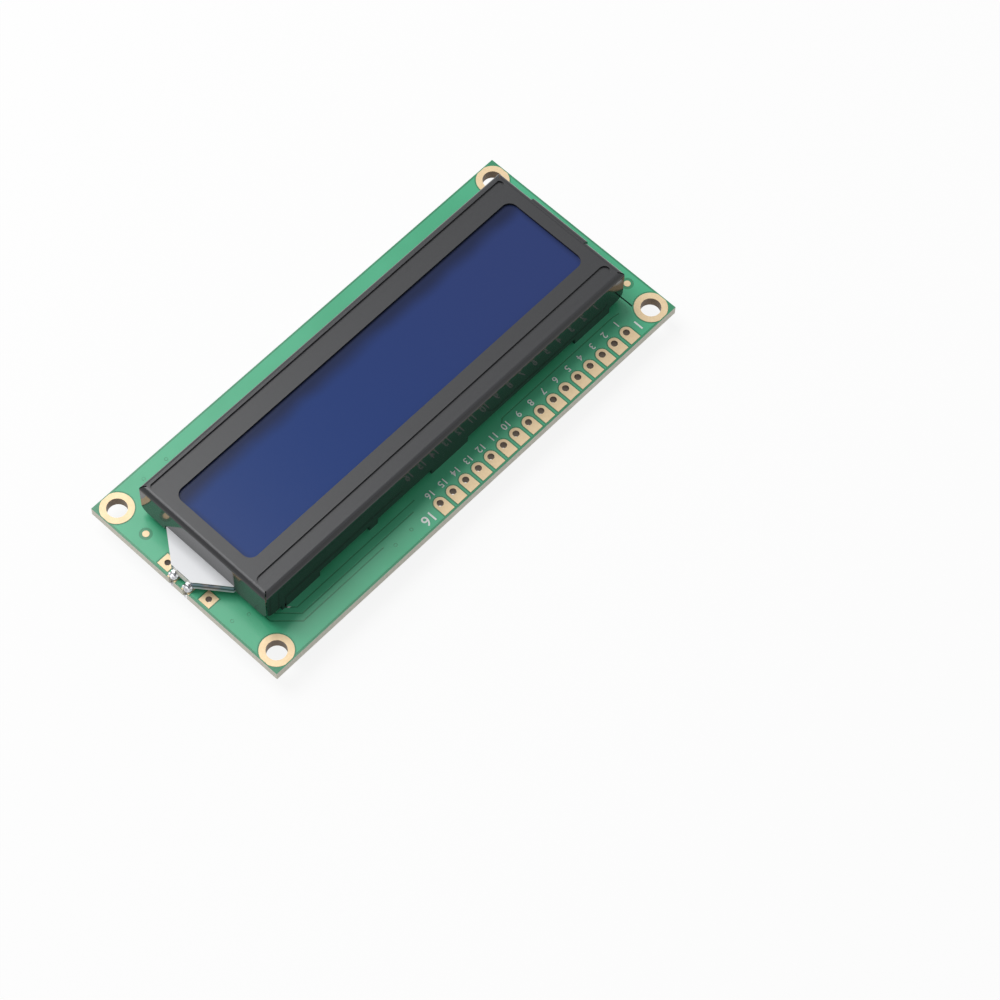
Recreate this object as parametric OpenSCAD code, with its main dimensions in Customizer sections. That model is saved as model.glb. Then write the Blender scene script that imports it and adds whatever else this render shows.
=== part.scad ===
// Side-lit character display module: a liquid crystal cell clamped on its driver board by a
// folded sheet-metal bezel, whose six tabs pass through the board and are twisted behind it.
// Seen from above with the text upright, +X runs to the right, +Y to the header edge and +Z
// out of the display. The origin is centred below the board, on the plane of the tab tips.

/* [Circuit board] */
// Length of the circuit board
board_length = 80; // [79:0.5:84]
// Width of the circuit board
board_width = 36; // [36:0.5:40]
// Thickness of the board laminate
board_thickness = 1.6; // [1.2:0.1:2]
// Distance of each mounting hole's centre from the board's edges
hole_inset = 2.5; // [2.3:0.1:2.8]
// Diameter of the mounting holes
hole_diameter = 3; // [2.6:0.1:3.2]
// Outer diameter of the gold ring round each mounting hole
ring_diameter = 4.9; // [4.4:0.1:5.2]

/* [Header] */
// Number of header holes
pin_count = 16; // [14:1:16]
// Distance between header holes
pin_pitch = 2.54; // [2.5:0.01:2.56]
// Diameter of the header holes
pin_hole_diameter = 1; // [0.8:0.05:1.1]
// Width of the gold pad round each header hole
pin_pad_width = 1.9; // [1.6:0.05:2]
// Distance from the board's end to the first header hole
first_pin_inset = 8; // [7.5:0.1:8.5]
// Distance from the board's long edge to the row of header holes
pin_row_inset = 2.2; // [2:0.1:2.4]

/* [Bezel] */
// Length of the bezel over its end walls
bezel_length = 71.1; // [70.8:0.1:71.6]
// Width of the bezel over its long walls
bezel_width = 24.4; // [24.2:0.1:24.8]
// Height of the bezel's face above the board
bezel_height = 7.5; // [7:0.1:8.5]
// Thickness of the bezel's sheet
sheet_thickness = 0.4; // [0.3:0.05:0.45]
// Outer radius of the bezel's folds
fold_radius = 0.8; // [0.6:0.1:1.2]
// Gap between the lower edge of the walls and the board
wall_gap = 1.3; // [1:0.1:1.6]
// Radius of the lower corners of the walls
wall_corner_radius = 1.5; // [0.8:0.1:2]
// Length of the display window
window_length = 66; // [64:0.5:67]
// Width of the display window
window_width = 14.6; // [13:0.2:15]
// Corner radius of the display window
window_radius = 1.4; // [0.5:0.1:2]

/* [Twisted tabs] */
// Width of each bezel tab
tab_width = 7.2; // [6:0.2:7.4]
// Height of the tab tips below the board
tab_drop = 2.4; // [2:0.1:3]
// Angle by which the tabs are twisted
tab_twist = 30; // [15:1:40]
// Distance by which the twisted tabs lean inwards
tab_lean = 1.1; // [0:0.1:1.4]
// Distance between the tabs of one side
tab_spacing = 29.1; // [28:0.1:29.4]

/* [Display cell] */
// Length of the front glass
front_glass_length = 69.4; // [68.5:0.1:69.6]
// Width of the front glass
front_glass_width = 23; // [22.6:0.1:23.2]
// Width of the rear glass
rear_glass_width = 18; // [17.6:0.1:18.2]
// Thickness of each glass
glass_thickness = 1.1; // [0.7:0.1:1.1]
// Thickness of the front polarizer with its adhesive
front_polarizer_thickness = 0.3; // [0.2:0.05:0.35]
// Width of each zebra strip
zebra_width = 2; // [1.8:0.1:2.2]

/* [Backlight] */
// Width of the light guide's lug where it leaves the bezel
lug_root_width = 13; // [12:0.5:14]
// Width of the light guide's lug at its tip
lug_tip_width = 4.6; // [4.4:0.1:6]
// Distance from the board's end to the tip of the lug
lug_tip_inset = 0.9; // [0.8:0.1:1.4]
// Thickness of the lug between its films
lug_thickness = 1.6; // [1.5:0.1:1.8]
// Height of the lug above the board
lug_lift = 0.8; // [0.7:0.1:1]

/* [Chips and resistors] */
// Diameter of the resin cap over the controller
controller_cap_diameter = 13.6; // [12:0.2:14.4]
// Diameter of the resin cap over the segment driver
driver_cap_diameter = 11.6; // [10:0.2:12.4]
// Height of the resin caps
cap_height = 1.3; // [1:0.1:1.8]
// Distance between the resistors of the bank
bank_pitch = 2.35; // [2:0.05:2.4]

/* [Hidden] */
$fn = 48;
copper = 0.05;
film = 0.1;
seal_thickness = 0.1;
rear_polarizer_thickness = 0.2;
diffuser_thickness = 0.2;
reflector_thickness = 0.15;

// Heights, from the tab tips up
board_under = tab_drop;
board_top = board_under + board_thickness;
face_top = board_top + bezel_height;
face_under = face_top - sheet_thickness;
front_polarizer_under = face_under - front_polarizer_thickness;
front_glass_under = front_polarizer_under - glass_thickness;
rear_glass_top = front_glass_under - seal_thickness;
rear_glass_under = rear_glass_top - glass_thickness;
rear_polarizer_under = rear_glass_under - rear_polarizer_thickness;
guide_top = rear_polarizer_under - diffuser_thickness;
guide_under = board_top + reflector_thickness;
lug_under = board_top + lug_lift;
lug_top = lug_under + lug_thickness;

// Board features
hole_spacing_x = board_length - 2 * hole_inset;
hole_spacing_y = board_width - 2 * hole_inset;
ring_edge_inset = 0.15;
pin_row_y = board_width / 2 - pin_row_inset;
pin_pad_edge_inset = 0.35;
tab_slot_length = tab_width + 0.5;
tab_slot_width = 1.25;
peg_hole_diameter = 1.4;
peg_x = 15.1;

// Bezel features
bezel_y = -0.4;
window_y = -0.53;
wall_under = board_top + wall_gap;
corner_slit = 0.12;
fold_overlap = 0.2;
groove_depth = front_polarizer_thickness;
groove_flank = 0.2;
header_groove = [69.1, 1.8, 9.95];
far_groove = [69.1, 1.46, -10.57];
peg_width = 1.1;
peg_stub_width = 1.6;
end_panel_width = 10.3;
end_panel_proud = 0.35;
end_panel_y = 0.45;
lug_notch_width = lug_root_width + 0.6;
blade_steps = 10;
blade_width = tab_width - 0.1;
blade_thickness = sheet_thickness - 0.04;
blade_root = 0.5;

// Display cell and backlight features
rear_glass_length = 68.6;
polarizer_margin = 0.6;
seal_width = 1;
contact_count = 48;
contact_pitch = 1.375;
contact_size = [0.9, 1.7];
zebra_length = 67;
zebra_offset = front_glass_width / 2 - 0.15 - zebra_width / 2;
guide_length = 69;
guide_width = rear_glass_width + 0.4;
lug_y = -1;
lug_tip_x = board_length / 2 - lug_tip_inset;
lug_tip_chamfer = 0.5;
led_size = [1.8, 3.4, 1.2];
lead_spacing = 2.7;
lead_size = [0.2, 0.5];
lead_x = lug_tip_x + 0.2;
notch_width = 0.8;
notch_depth = 0.8;
led_land_size = [1.5, 1.5];

// Components on the back
controller_xy = [-12.7, -0.4];
driver_xy = [13.3, 0.5];
controller_die_size = [5.2, 4.4, 0.4];
driver_die_size = [6, 3.2, 0.4];
dome_steps = 12;
small_chip = [2, 1.25, 0.5];
large_chip = [3.2, 1.6, 0.55];
chip_cap = 0.45;
chip_cap_proud = 0.04;
land_reach = 0.9;
fillet_steps = 4;
bank_xy = [-31, 5.35];
resistor_7_xy = [-22.6, -3.6];
resistor_8_xy = [20.2, 12.8];
jumper_xs = [32, 29.5, 27.1];
jumper_y = 5.8;
jumper_diameter = 1.9;
jumper_slit = 0.25;
spare_chip_xy = [29.4, 1.95];
spare_chip_rows = 4;
spare_chip_pitch = 1.27;
spare_chip_row_spacing = 5.8;

gold = [0.89, 0.76, 0.55];
solder_grey = [0.75, 0.76, 0.78];

// ---- shared outlines -------------------------------------------------------

module rounded_rectangle(size, radius) {
    square([size[0] - 2 * radius, size[1]], center = true);
    square([size[0], size[1] - 2 * radius], center = true);
    for (x = [-1, 1], y = [-1, 1])
        translate([x * (size[0] / 2 - radius), y * (size[1] / 2 - radius)])
            circle(r = radius);
}

module stadium(length, width) {
    square([length - width, width], center = true);
    for (x = [-1, 1])
        translate([x * (length - width) / 2, 0])
            circle(d = width);
}

module on_top() {
    translate([0, 0, board_top])
        linear_extrude(height = copper)
            children();
}

module on_back() {
    translate([0, 0, board_under - copper])
        linear_extrude(height = copper)
            children();
}

// A plated hole: its pad on both faces of the board and the barrel that joins them
module eyelet(diameter) {
    difference() {
        union() {
            on_top() children();
            on_back() children();
            translate([0, 0, board_under - copper / 2])
                cylinder(d = diameter + 2 * copper, h = board_thickness + copper);
        }
        translate([0, 0, board_under - 1])
            cylinder(d = diameter, h = board_thickness + 2);
    }
}

// ---- places on the board ---------------------------------------------------

module at_mounting_holes() {
    for (x = [-1, 1], y = [-1, 1])
        translate([x * hole_spacing_x / 2, y * hole_spacing_y / 2])
            children();
}

module at_header_holes() {
    for (i = [0 : pin_count - 1])
        translate([first_pin_inset - board_length / 2 + i * pin_pitch, pin_row_y])
            children();
}

// The centre of each bezel tab, with +Y turned inwards for the children
module at_tabs() {
    for (side = [-1, 1], i = [-1 : 1])
        translate([i * tab_spacing, bezel_y + side * (bezel_width - sheet_thickness) / 2])
            rotate([0, 0, side > 0 ? 180 : 0])
                children();
}

module at_pegs() {
    for (side = [-1, 1])
        translate([side * peg_x, bezel_y + side * (bezel_width - sheet_thickness) / 2])
            children();
}

module at_backlight_terminals() {
    for (y = [3.5, -4.5])
        translate([38.5, y])
            children();
}

module at_backlight_pins() {
    for (y = [0.95, -1.65])
        translate([36.1, y])
            children();
}

module at_leads() {
    for (side = [-1, 1])
        translate([board_length / 2, lug_y + side * lead_spacing / 2])
            children();
}

module at_fiducials() {
    translate([-38.1, 10.4])
        children();
    translate([37.5, -9.8])
        children();
}

// ---- circuit board and its plating -----------------------------------------

module lead_notch() {
    translate([-notch_depth + notch_width / 2, 0])
        circle(d = notch_width);
    translate([notch_width / 2 - notch_depth, -notch_width / 2])
        square([notch_depth, notch_width]);
}

module circuit_board() {
    color([0.18, 0.66, 0.43])
        translate([0, 0, board_under])
            linear_extrude(height = board_thickness)
                difference() {
                    square([board_length, board_width], center = true);
                    at_mounting_holes() circle(d = hole_diameter + 2 * copper);
                    at_header_holes() circle(d = pin_hole_diameter + 2 * copper);
                    at_tabs() stadium(tab_slot_length, tab_slot_width);
                    at_pegs() circle(d = peg_hole_diameter);
                    at_backlight_terminals() circle(d = 0.9 + 2 * copper);
                    at_backlight_pins() circle(d = 0.8 + 2 * copper);
                    at_leads() lead_notch();
                }
}

module mounting_rings() {
    edge = hole_inset - ring_edge_inset;
    color(gold)
        for (x = [-1, 1], y = [-1, 1])
            translate([x * hole_spacing_x / 2, y * hole_spacing_y / 2])
                eyelet(hole_diameter)
                    intersection() {
                        circle(d = ring_diameter);
                        translate([x * (edge - ring_diameter / 2), y * (edge - ring_diameter / 2)])
                            square(ring_diameter, center = true);
                    }
}

module header_pads() {
    tail = pin_row_inset - pin_pad_edge_inset;
    color(gold)
        at_header_holes()
            eyelet(pin_hole_diameter)
                union() {
                    circle(d = pin_pad_width);
                    translate([-pin_pad_width / 2, 0])
                        square([pin_pad_width, tail]);
                }
}

module display_contacts() {
    color(gold)
        for (side = [-1, 1], i = [0 : contact_count - 1])
            translate([(i - (contact_count - 1) / 2) * contact_pitch, bezel_y + side * zebra_offset])
                on_top() square(contact_size, center = true);
}

module bezel_tab_lands() {
    land_width = 2.7;
    color(gold)
        at_tabs()
            translate([0, tab_slot_width / 2 + 0.05 + land_width / 2])
                on_back() square([tab_width, land_width], center = true);
}

module backlight_terminals() {
    color(gold)
        at_backlight_terminals()
            eyelet(0.9) square(2, center = true);
}

module backlight_pin_eyelets() {
    color(gold)
        at_backlight_pins()
            eyelet(0.8) circle(d = 1.8);
}

module led_land_outline() {
    difference() {
        translate([-led_land_size[0] - 0.05, -led_land_size[1] / 2])
            square(led_land_size);
        lead_notch();
    }
}

module led_lands() {
    color(gold)
        at_leads() {
            on_top() led_land_outline();
            on_back() led_land_outline();
        }
}

module fiducial_marks() {
    color(gold)
        at_fiducials() {
            on_top() circle(d = 1);
            on_back() circle(d = 1);
        }
}

// ---- resistors -------------------------------------------------------------

// A chip resistor on the back of the board: ceramic body with a metal cap on each end
module chip_resistor(size) {
    color([0.13, 0.13, 0.14])
        translate([0, 0, board_under - copper - size[2] / 2]) {
            cube([size[0] - chip_cap, size[1] - chip_cap_proud, size[2] - chip_cap_proud], center = true);
            for (side = [-1, 1])
                translate([side * (size[0] - chip_cap) / 2, 0, 0])
                    cube([chip_cap, size[1], size[2]], center = true);
        }
}

// Half of the solder's section: a hollow curve from the land up to the chip's end
function fillet_points(reach, rise) =
    [for (i = [0 : fillet_steps]) let (a = 90 * i / fillet_steps) [reach * (1 - sin(a)), rise * (1 - cos(a))]];

// The two gold lands of a chip resistor
module chip_lands(size) {
    for (side = [-1, 1])
        translate([side * (size[0] / 2 - chip_cap + (chip_cap + land_reach) / 2), 0])
            on_back() square([chip_cap + land_reach, size[1] + 0.1], center = true);
}

// The hollow solder fillets that rise up the ends of a chip resistor
module chip_fillets(size) {
    reach = land_reach - 0.1;
    rise = size[2] * 0.85;
    for (side = [0, 180])
        rotate([0, 0, side])
            translate([size[0] / 2, 0, board_under - copper])
                rotate([-90, 0, 0])
                    linear_extrude(height = size[1], center = true)
                        polygon(concat([[0, 0]], fillet_points(reach, rise)));
}

module at_bank(index) {
    translate([bank_xy[0], bank_xy[1] - (index - 1) * bank_pitch])
        children();
}

module at_resistors_small() {
    for (i = [1 : 6])
        at_bank(i) children();
    translate(resistor_7_xy)
        children();
}

module resistor_lands() {
    color(gold) {
        at_resistors_small() chip_lands(small_chip);
        translate(resistor_8_xy) chip_lands(large_chip);
    }
}

module resistor_solder() {
    color(solder_grey) {
        at_resistors_small() chip_fillets(small_chip);
        translate(resistor_8_xy) chip_fillets(large_chip);
    }
}

module bank_resistor(index) {
    at_bank(index) chip_resistor(small_chip);
}

module resistor_7() {
    translate(resistor_7_xy) chip_resistor(small_chip);
}

module resistor_8() {
    translate(resistor_8_xy) chip_resistor(large_chip);
}

// ---- jumpers and unpopulated places ----------------------------------------

module jumper_lands() {
    color(gold)
        for (x = jumper_xs)
            translate([x, jumper_y])
                on_back()
                    difference() {
                        circle(d = jumper_diameter);
                        square([jumper_slit, jumper_diameter + 1], center = true);
                    }
}

module jumper_solder() {
    color(solder_grey)
        translate([jumper_xs[0], jumper_y, board_under - copper])
            mirror([0, 0, 1])
                dome(jumper_diameter - 0.2, 0.45);
}

module spare_chip_lands() {
    color(gold)
        for (side = [-1, 1], i = [0 : spare_chip_rows - 1])
            translate([spare_chip_xy[0] + side * spare_chip_row_spacing / 2,
                       spare_chip_xy[1] + (i - (spare_chip_rows - 1) / 2) * spare_chip_pitch])
                on_back() stadium(2.05, 0.6);
}

module spare_capacitor_lands() {
    color(gold)
        on_back() {
            for (x = [31.45, 28.05], y = [-2.6, -6.1])
                translate([x, y])
                    square([1.55, 2.1], center = true);
            for (x = [-21.1, -23.5])
                translate([x, -6.1])
                    square([1.55, 1.6], center = true);
        }
}

// ---- chips under resin caps ------------------------------------------------

// Height of a resin cap at a fraction of its radius: flat on top and steep at the rim
function dome_rise(t) = sqrt(1 - pow(t, 2.6));

// A cap of cured resin, standing on its flat side
module dome(diameter, height) {
    radius = diameter / 2;
    profile = [for (i = [0 : dome_steps]) let (t = sin(90 * i / dome_steps)) [radius * t, height * dome_rise(t)]];
    rotate_extrude()
        polygon(concat([[0, 0]], profile));
}

module back_cap(xy, diameter, die_size) {
    translate([xy[0], xy[1], board_under])
        mirror([0, 0, 1])
            difference() {
                dome(diameter, cap_height);
                translate([-die_size[0] / 2, -die_size[1] / 2, -1])
                    cube([die_size[0], die_size[1], die_size[2] + 1]);
            }
}

module back_die(xy, die_size) {
    translate([xy[0] - die_size[0] / 2, xy[1] - die_size[1] / 2, board_under - die_size[2]])
        cube(die_size);
}

module controller_die() {
    color([0.45, 0.45, 0.5]) back_die(controller_xy, controller_die_size);
}

module controller_cap() {
    color([0.22, 0.22, 0.24]) back_cap(controller_xy, controller_cap_diameter, controller_die_size);
}

module driver_die() {
    color([0.45, 0.45, 0.5]) back_die(driver_xy, driver_die_size);
}

module driver_cap() {
    color([0.22, 0.22, 0.24]) back_cap(driver_xy, driver_cap_diameter, driver_die_size);
}

// ---- bezel -----------------------------------------------------------------

// Section across a fold, with the outer face of the wall at x = 0 and the face's top at y = 0
module fold_section() {
    inner_radius = fold_radius - sheet_thickness;
    translate([-fold_radius, -fold_radius])
        intersection() {
            difference() {
                circle(r = fold_radius);
                circle(r = inner_radius);
            }
            square(fold_radius);
        }
    translate([-fold_radius - fold_overlap, -sheet_thickness])
        square([fold_overlap, sheet_thickness]);
    translate([-sheet_thickness, -fold_radius - fold_overlap])
        square([sheet_thickness, fold_overlap]);
}

// A fold along Y, whose wall's outer face stands at the given reach
module fold(reach, length) {
    translate([reach, 0, face_top])
        rotate([90, 0, 0])
            linear_extrude(height = length, center = true)
                fold_section();
}

// A flat wall below a fold, extruded from its elevation (Y across, Z up)
module wall(reach) {
    translate([reach - sheet_thickness, 0, 0])
        rotate([90, 0, 90])
            linear_extrude(height = sheet_thickness)
                children();
}

// The elevation of a wall: its lower corners are rounded
module wall_elevation(length) {
    top = face_top - fold_radius;
    height = top - wall_under;
    translate([-length / 2, wall_under + wall_corner_radius])
        square([length, height - wall_corner_radius]);
    translate([-length / 2 + wall_corner_radius, wall_under])
        square([length - 2 * wall_corner_radius, height]);
    for (side = [-1, 1])
        translate([side * (length / 2 - wall_corner_radius), wall_under + wall_corner_radius])
            circle(r = wall_corner_radius);
}

// The wedge in plan that holds one side, with half of the slit at each corner
module mitre(reach, length) {
    inner = 2;
    outer = 1;
    half_in = length / 2 - inner - corner_slit;
    half_out = length / 2 + outer - corner_slit;
    linear_extrude(height = face_top + 1)
        polygon([
            [reach - inner, -half_in],
            [reach + outer, -half_out],
            [reach + outer, half_out],
            [reach - inner, half_in]
        ]);
}

// The elevation of a long wall, with its three feet and its locating peg
module long_wall_elevation() {
    wall_elevation(bezel_length);
    for (i = [-1 : 1])
        translate([i * tab_spacing - tab_width / 2, board_under])
            square([tab_width, wall_under - board_under + 1]);
    translate([-peg_x - peg_stub_width / 2, board_top])
        square([peg_stub_width, wall_gap + 1]);
    translate([-peg_x - peg_width / 2, board_under + 0.3])
        square([peg_width, board_thickness + 1]);
}

module long_side() {
    intersection() {
        union() {
            fold(bezel_width / 2, bezel_length);
            wall(bezel_width / 2) long_wall_elevation();
        }
        mitre(bezel_width / 2, bezel_length);
    }
}

module end_side() {
    intersection() {
        union() {
            fold(bezel_length / 2, bezel_width);
            wall(bezel_length / 2) wall_elevation(bezel_width);
        }
        mitre(bezel_length / 2, bezel_width);
    }
}

// The end wall's middle panel stands proud of the corners
module end_panel() {
    reach = bezel_length / 2 + end_panel_proud;
    translate([0, end_panel_y, 0]) {
        fold(reach, end_panel_width);
        wall(reach)
            translate([-end_panel_width / 2, wall_under])
                square([end_panel_width, face_top - fold_radius - wall_under]);
    }
}

// The room behind the proud panel, so that the sheet keeps its thickness
module end_panel_hollow() {
    translate([bezel_length / 2 - sheet_thickness - 1,
               end_panel_y + sheet_thickness - end_panel_width / 2, wall_under - 1])
        cube([1 + end_panel_proud, end_panel_width - 2 * sheet_thickness,
              face_top - fold_radius - wall_under + 1]);
}

// A groove pressed into the face: the sheet dips, so its underside stands out as well
module groove(place, grow, z, height) {
    translate([0, bezel_y + place[2], z])
        linear_extrude(height = height)
            stadium(place[0] + 2 * grow, place[1] + 2 * grow);
}

module face_plate() {
    size = [bezel_length - 2 * fold_radius, bezel_width - 2 * fold_radius];
    difference() {
        union() {
            translate([-size[0] / 2, bezel_y - size[1] / 2, face_under])
                cube([size[0], size[1], sheet_thickness]);
            for (place = [header_groove, far_groove])
                groove(place, groove_flank, face_under - groove_depth, groove_depth + 0.1);
        }
        for (place = [header_groove, far_groove])
            groove(place, 0, face_top - groove_depth, 1);
        translate([0, bezel_y + window_y, face_under - 1])
            linear_extrude(height = 2)
                rounded_rectangle([window_length, window_width], window_radius);
    }
}

// Corner of a twisted tab: t runs from root to tip, u across the sheet and v through it
function tab_ease(t) = t * t * (3 - 2 * t);
function tab_corner(t, u, v) =
    let (turn = -tab_twist * tab_ease(t))
    [
        u * cos(turn) - v * sin(turn),
        u * sin(turn) + v * cos(turn) + tab_lean * tab_ease(t),
        board_under * (1 - t)
    ];

// A tab's free end, twisted and leaning inwards so that it can't pull back through its slot.
// The twist goes the same way round on both sides of the board.
module twisted_tab() {
    u = blade_width / 2;
    v = blade_thickness / 2;
    corners = [[-u, -v], [u, -v], [u, v], [-u, v]];
    root = [for (c = corners) [c[0], c[1], board_under + blade_root]];
    rings = [for (i = [0 : blade_steps], c = corners) tab_corner(i / blade_steps, c[0], c[1])];
    last = 4 * (blade_steps + 1);
    sides = [for (i = [0 : blade_steps], k = [0 : 3])
        [4 * i + k, 4 * i + (k + 1) % 4, 4 * i + 4 + (k + 1) % 4, 4 * i + 4 + k]];
    polyhedron(
        points = concat(root, rings),
        faces = concat([[3, 2, 1, 0]], sides, [[last, last + 1, last + 2, last + 3]])
    );
}

module bezel() {
    color([0.12, 0.12, 0.13])
        union() {
            difference() {
                union() {
                    face_plate();
                    translate([0, bezel_y, 0]) {
                        rotate([0, 0, 90]) long_side();
                        rotate([0, 0, -90]) long_side();
                        end_side();
                        rotate([0, 0, 180]) {
                            end_side();
                            end_panel();
                        }
                    }
                }
                translate([0, bezel_y, 0])
                    rotate([0, 0, 180]) end_panel_hollow();
                translate([bezel_length / 2 - 1, lug_y - lug_notch_width / 2, wall_under - 1])
                    cube([2, lug_notch_width, lug_top + film - wall_under + 1.05]);
            }
            at_tabs() twisted_tab();
        }
}

// ---- display cell ----------------------------------------------------------

module sheet(size, under, thickness) {
    translate([-size[0] / 2, bezel_y - size[1] / 2, under])
        cube([size[0], size[1], thickness]);
}

module front_polarizer() {
    size = [window_length + 2 * polarizer_margin, window_width + 2 * polarizer_margin];
    color([0.15, 0.2, 0.4])
        translate([-size[0] / 2, bezel_y + window_y - size[1] / 2, front_polarizer_under])
            cube([size[0], size[1], front_polarizer_thickness]);
}

module front_glass() {
    color([0.6, 0.75, 0.8, 0.6])
        sheet([front_glass_length, front_glass_width], front_glass_under, glass_thickness);
}

module seal_inside(grow) {
    translate([0, bezel_y])
        rounded_rectangle([rear_glass_length - 2 * seal_width - 1 + 2 * grow,
                           rear_glass_width - 2 * seal_width - 1 + 2 * grow], 0.8);
}

module cell_seal() {
    color([0.85, 0.85, 0.8])
        translate([0, 0, rear_glass_top])
            linear_extrude(height = seal_thickness)
                difference() {
                    seal_inside(seal_width);
                    seal_inside(0);
                }
}

module liquid_crystal() {
    color([0.18, 0.26, 0.5])
        translate([0, 0, rear_glass_top])
            linear_extrude(height = seal_thickness)
                seal_inside(0);
}

module rear_glass() {
    color([0.6, 0.75, 0.8, 0.6])
        sheet([rear_glass_length, rear_glass_width], rear_glass_under, glass_thickness);
}

module rear_polarizer() {
    color([0.2, 0.25, 0.45])
        sheet([rear_glass_length - 1, rear_glass_width - 1], rear_polarizer_under, rear_polarizer_thickness);
}

module zebra_strip(side) {
    under = board_top + copper;
    color([0.3, 0.3, 0.32])
        translate([-zebra_length / 2, bezel_y + side * zebra_offset - zebra_width / 2, under])
            cube([zebra_length, zebra_width, front_glass_under - under]);
}

module header_side_zebra_strip() {
    zebra_strip(1);
}

module far_side_zebra_strip() {
    zebra_strip(-1);
}

// ---- backlight -------------------------------------------------------------

module diffuser_film() {
    color([0.93, 0.94, 0.96])
        sheet([guide_length - 0.6, guide_width - 0.4], guide_top, diffuser_thickness);
}

module reflector_film() {
    color([0.96, 0.96, 0.97])
        sheet([guide_length - 0.6, guide_width - 0.4], board_top, reflector_thickness);
}

// The lug in plan: it leaves the bezel and narrows to the lamp
module lug_outline(root_x) {
    shoulder_x = bezel_length / 2 + 0.1;
    polygon([
        [root_x, lug_y - lug_root_width / 2],
        [shoulder_x, lug_y - lug_root_width / 2],
        [lug_tip_x - lug_tip_chamfer, lug_y - lug_tip_width / 2 - lug_tip_chamfer * 0.6],
        [lug_tip_x, lug_y - lug_tip_width / 2 + lug_tip_chamfer * 0.6],
        [lug_tip_x, lug_y + lug_tip_width / 2 - lug_tip_chamfer * 0.6],
        [lug_tip_x - lug_tip_chamfer, lug_y + lug_tip_width / 2 + lug_tip_chamfer * 0.6],
        [shoulder_x, lug_y + lug_root_width / 2],
        [root_x, lug_y + lug_root_width / 2]
    ]);
}

module led_place(grow) {
    translate([lug_tip_x - led_size[0], lug_y - led_size[1] / 2, lug_under + (lug_thickness - led_size[2]) / 2])
        cube([led_size[0] + grow, led_size[1], led_size[2]]);
}

module light_guide() {
    color([0.75, 0.82, 0.9, 0.8])
        difference() {
            union() {
                sheet([guide_length, guide_width], guide_under, guide_top - guide_under);
                translate([0, 0, lug_under])
                    linear_extrude(height = lug_thickness)
                        lug_outline(guide_length / 2 - 1);
            }
            led_place(1);
        }
}

module lug_film(z) {
    color([0.97, 0.97, 0.99])
        translate([0, 0, z])
            linear_extrude(height = film)
                lug_outline(guide_length / 2);
}

module lug_top_film() {
    lug_film(lug_top);
}

module lug_under_film() {
    lug_film(lug_under - film);
}

module backlight_led() {
    color([0.95, 0.95, 0.9]) led_place(0);
}

// A lead leaves the lamp's back and turns down through its notch in the board's edge
module led_lead(side) {
    start = lug_under + lug_thickness / 2;
    color(solder_grey)
        translate([0, lug_y + side * lead_spacing / 2 - lead_size[1] / 2, 0]) {
            translate([lug_tip_x, 0, start - lead_size[0]])
                cube([lead_x - lug_tip_x + lead_size[0], lead_size[1], lead_size[0]]);
            translate([lead_x, 0, board_under - 0.4])
                cube([lead_size[0], lead_size[1], start - board_under + 0.4]);
        }
}

module led_lead_a() {
    led_lead(1);
}

module led_lead_b() {
    led_lead(-1);
}

module led_solder() {
    size = 1.4;
    color(solder_grey)
        difference() {
            at_leads() {
                translate([-size / 2 - 0.02, 0, board_top + copper])
                    dome(size, 0.7);
                translate([-size / 2 - 0.02, 0, board_under - copper])
                    mirror([0, 0, 1])
                        dome(size, 0.6);
                translate([0, 0, board_under - copper])
                    linear_extrude(height = board_thickness + 2 * copper)
                        intersection() {
                            lead_notch();
                            translate([-2.02, -1])
                                square(2);
                        }
            }
            led_lead(1);
            led_lead(-1);
        }
}

circuit_board();
mounting_rings();
header_pads();
display_contacts();
bezel_tab_lands();
backlight_terminals();
backlight_pin_eyelets();
led_lands();
fiducial_marks();
resistor_lands();
resistor_solder();
jumper_lands();
jumper_solder();
spare_chip_lands();
spare_capacitor_lands();
bank_resistor(1);  // resistor_1
bank_resistor(2);  // resistor_2
bank_resistor(3);  // resistor_3
bank_resistor(4);  // resistor_4
bank_resistor(5);  // resistor_5
bank_resistor(6);  // resistor_6
resistor_7();
resistor_8();
controller_die();
controller_cap();
driver_die();
driver_cap();
bezel();
front_polarizer();
front_glass();
cell_seal();
liquid_crystal();
rear_glass();
rear_polarizer();
header_side_zebra_strip();
far_side_zebra_strip();
diffuser_film();
light_guide();
reflector_film();
lug_top_film();
lug_under_film();
backlight_led();
led_lead_a();
led_lead_b();
led_solder();
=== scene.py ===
"""Finishes and fine relief of a side-lit character display module.

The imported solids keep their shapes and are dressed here. Only what is thinner than a
sheet of paper or too irregular for a solid is added: the copper under the solder mask,
the vias, the white legend, the numbers on the chips and the lumps of solder.
"""
import logging
import math
from dataclasses import dataclass
from enum import Enum
from typing import Optional, Sequence

import bpy
from mathutils import Matrix, Vector


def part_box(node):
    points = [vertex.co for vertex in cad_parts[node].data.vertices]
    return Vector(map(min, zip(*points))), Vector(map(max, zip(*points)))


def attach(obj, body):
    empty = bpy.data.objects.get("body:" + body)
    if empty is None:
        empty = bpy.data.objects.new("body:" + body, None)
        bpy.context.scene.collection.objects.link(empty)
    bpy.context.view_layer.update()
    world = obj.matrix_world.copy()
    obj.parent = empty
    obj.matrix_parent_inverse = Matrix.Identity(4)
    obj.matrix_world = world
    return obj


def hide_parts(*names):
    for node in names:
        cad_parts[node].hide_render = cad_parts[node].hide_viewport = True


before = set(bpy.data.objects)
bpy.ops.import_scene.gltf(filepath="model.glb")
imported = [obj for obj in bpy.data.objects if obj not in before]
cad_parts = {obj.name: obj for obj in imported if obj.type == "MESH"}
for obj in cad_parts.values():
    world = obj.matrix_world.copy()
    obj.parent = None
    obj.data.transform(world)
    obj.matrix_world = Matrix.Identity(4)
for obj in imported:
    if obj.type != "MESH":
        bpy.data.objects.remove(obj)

Point = tuple[float, float]
Route = list[Point]
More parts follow.
